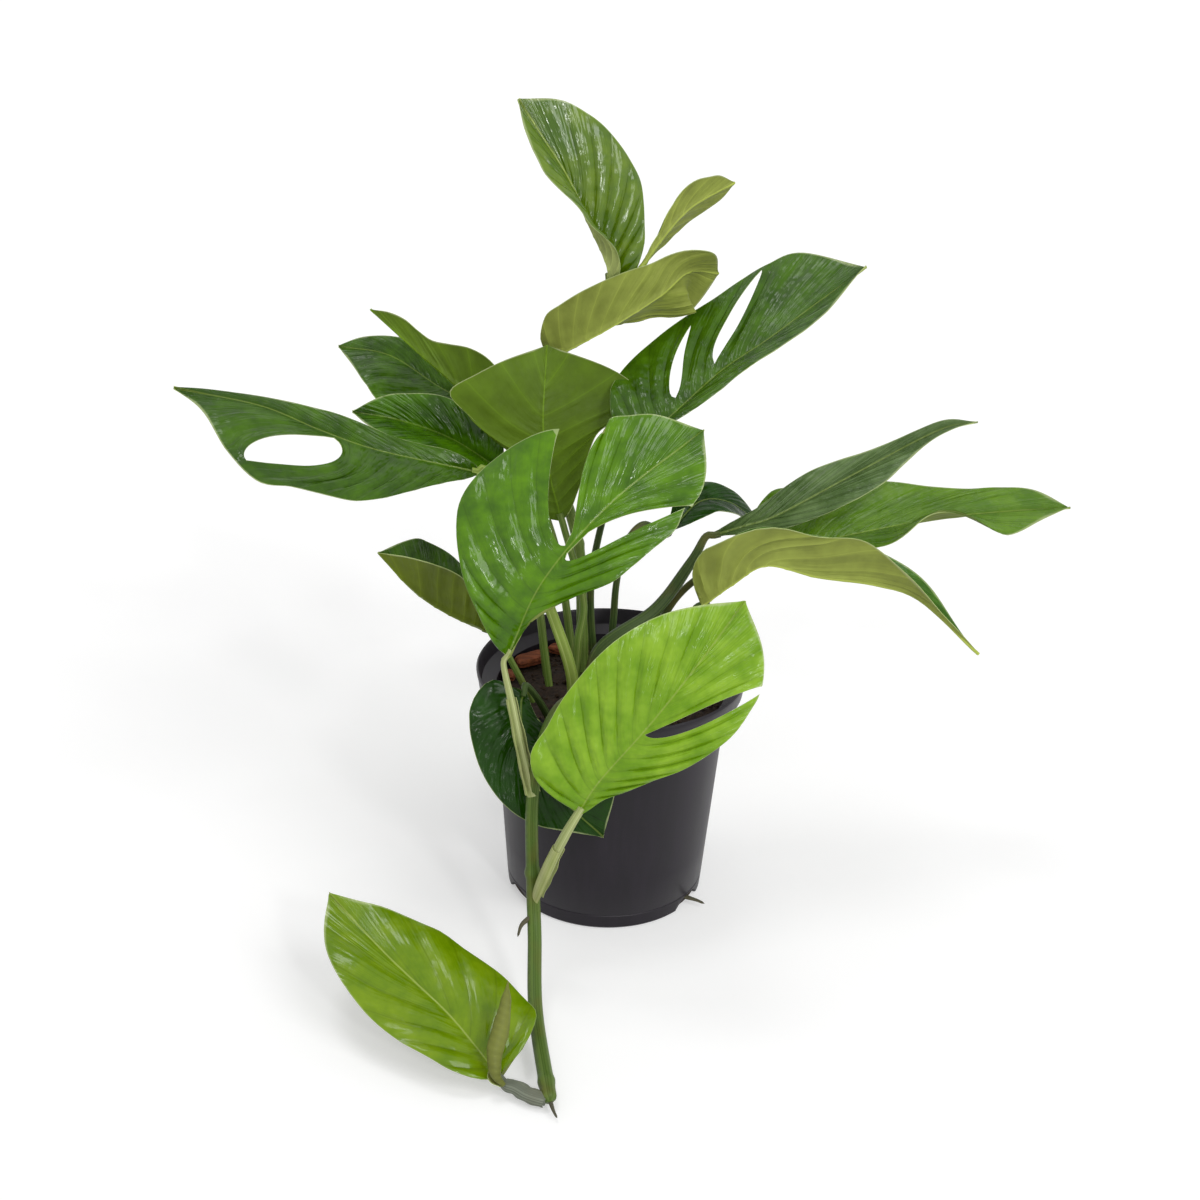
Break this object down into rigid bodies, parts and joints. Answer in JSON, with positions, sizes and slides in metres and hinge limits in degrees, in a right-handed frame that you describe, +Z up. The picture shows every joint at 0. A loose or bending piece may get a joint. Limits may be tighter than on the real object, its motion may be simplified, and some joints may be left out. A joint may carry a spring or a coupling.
{
  "type": "potted monstera",
  "caption": "Young climbing monstera with split leaves in a plain nursery pot, with a stem that trails over the rim.",
  "frame": {"origin": "centre of the pot's flat underside", "axes": "+Z up along the pot's axis; -Y towards the side where the stem trails over the rim"},
  "size_m": [0.4841, 0.3306, 0.4291],
  "materials": {
    "pot": "satin",
    "peat": "matte",
    "bark": "matte",
    "leaf": "satin",
    "stem": "satin",
    "root": "matte"
  },
  "bodies": {
    "root": {"aerial_root": "root", "bark_chip_flat": "bark", "bark_chip_front": "bark", "bark_chip_large": "bark", "bark_chip_right": "bark", "bark_chip_small": "bark", "crown_stem_tall": "stem", "leaf_centre_back": "leaf", "leaf_centre_front": "leaf", "leaf_crown_narrow": "leaf", "leaf_crown_rolled": "leaf", "leaf_crown_top": "leaf", "leaf_far_left": "leaf", "leaf_floor": "leaf", "leaf_left_back": "leaf", "leaf_left_cupped": "leaf", "leaf_left_dark": "leaf", "leaf_left_low": "leaf", "leaf_right_back": "leaf", "leaf_right_drooping": "leaf", "leaf_right_far": "leaf", "leaf_right_split": "leaf", "leaf_right_upper": "leaf", "leaf_rim_bright": "leaf", "leaf_rim_dark": "leaf", "leaf_unfurling": "leaf", "pot": "pot", "potting_soil": "peat", "root_at_drain": "root", "stalk_centre_back": "stem", "stalk_centre_front": "stem", "stalk_crown_narrow": "stem", "stalk_crown_rolled": "stem", "stalk_crown_top": "stem", "stalk_far_left": "stem", "stalk_floor": "stem", "stalk_left_back": "stem", "stalk_left_cupped": "stem", "stalk_left_dark": "stem", "stalk_left_low": "stem", "stalk_right_back": "stem", "stalk_right_drooping": "stem", "stalk_right_far": "stem", "stalk_right_split": "stem", "stalk_right_upper": "stem", "stalk_rim_bright": "stem", "stalk_rim_dark": "stem", "stem_end_root": "root", "trailing_stem": "stem"}
  },
  "joints": []
}
